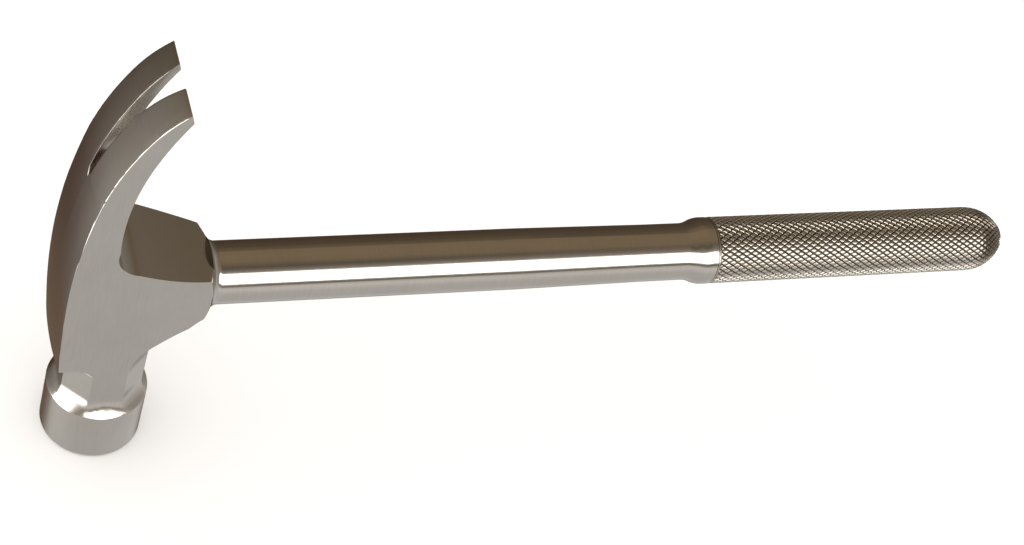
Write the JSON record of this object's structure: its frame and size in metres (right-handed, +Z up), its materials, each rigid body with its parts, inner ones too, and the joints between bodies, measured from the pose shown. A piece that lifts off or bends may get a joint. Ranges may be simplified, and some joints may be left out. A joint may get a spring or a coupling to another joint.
{
  "type": "small claw hammer",
  "caption": "Small all-steel claw hammer: round striking drum, eight-sided neck, split curved claws, round tube handle and a diamond-knurled grip with a domed end.",
  "frame": {"origin": "centre of the striking face, which lies in the plane z = 0", "axes": "+Z up the head from the striking face to the claws, +X along the handle from the head to the grip, Y across the head from cheek to cheek"},
  "size_m": [0.2342, 0.0228, 0.1126],
  "materials": {
    "forged_head": "satin ground and brushed, warm grey",
    "shaft": "fine satin polish along the tube",
    "weld": "dressed and polished ring weld",
    "knurled_grip": "rolled diamond knurl, bright crests",
    "grip_end": "smooth satin",
    "inner_steel": "plain turned"
  },
  "bodies": {
    "root": {"head": "forged_head", "tenon_dowel": "inner_steel", "shaft_tube": "shaft", "neck_weld": "weld", "grip_spigot": "inner_steel", "grip_sleeve": "knurled_grip", "end_plug": "grip_end"}
  },
  "joints": []
}
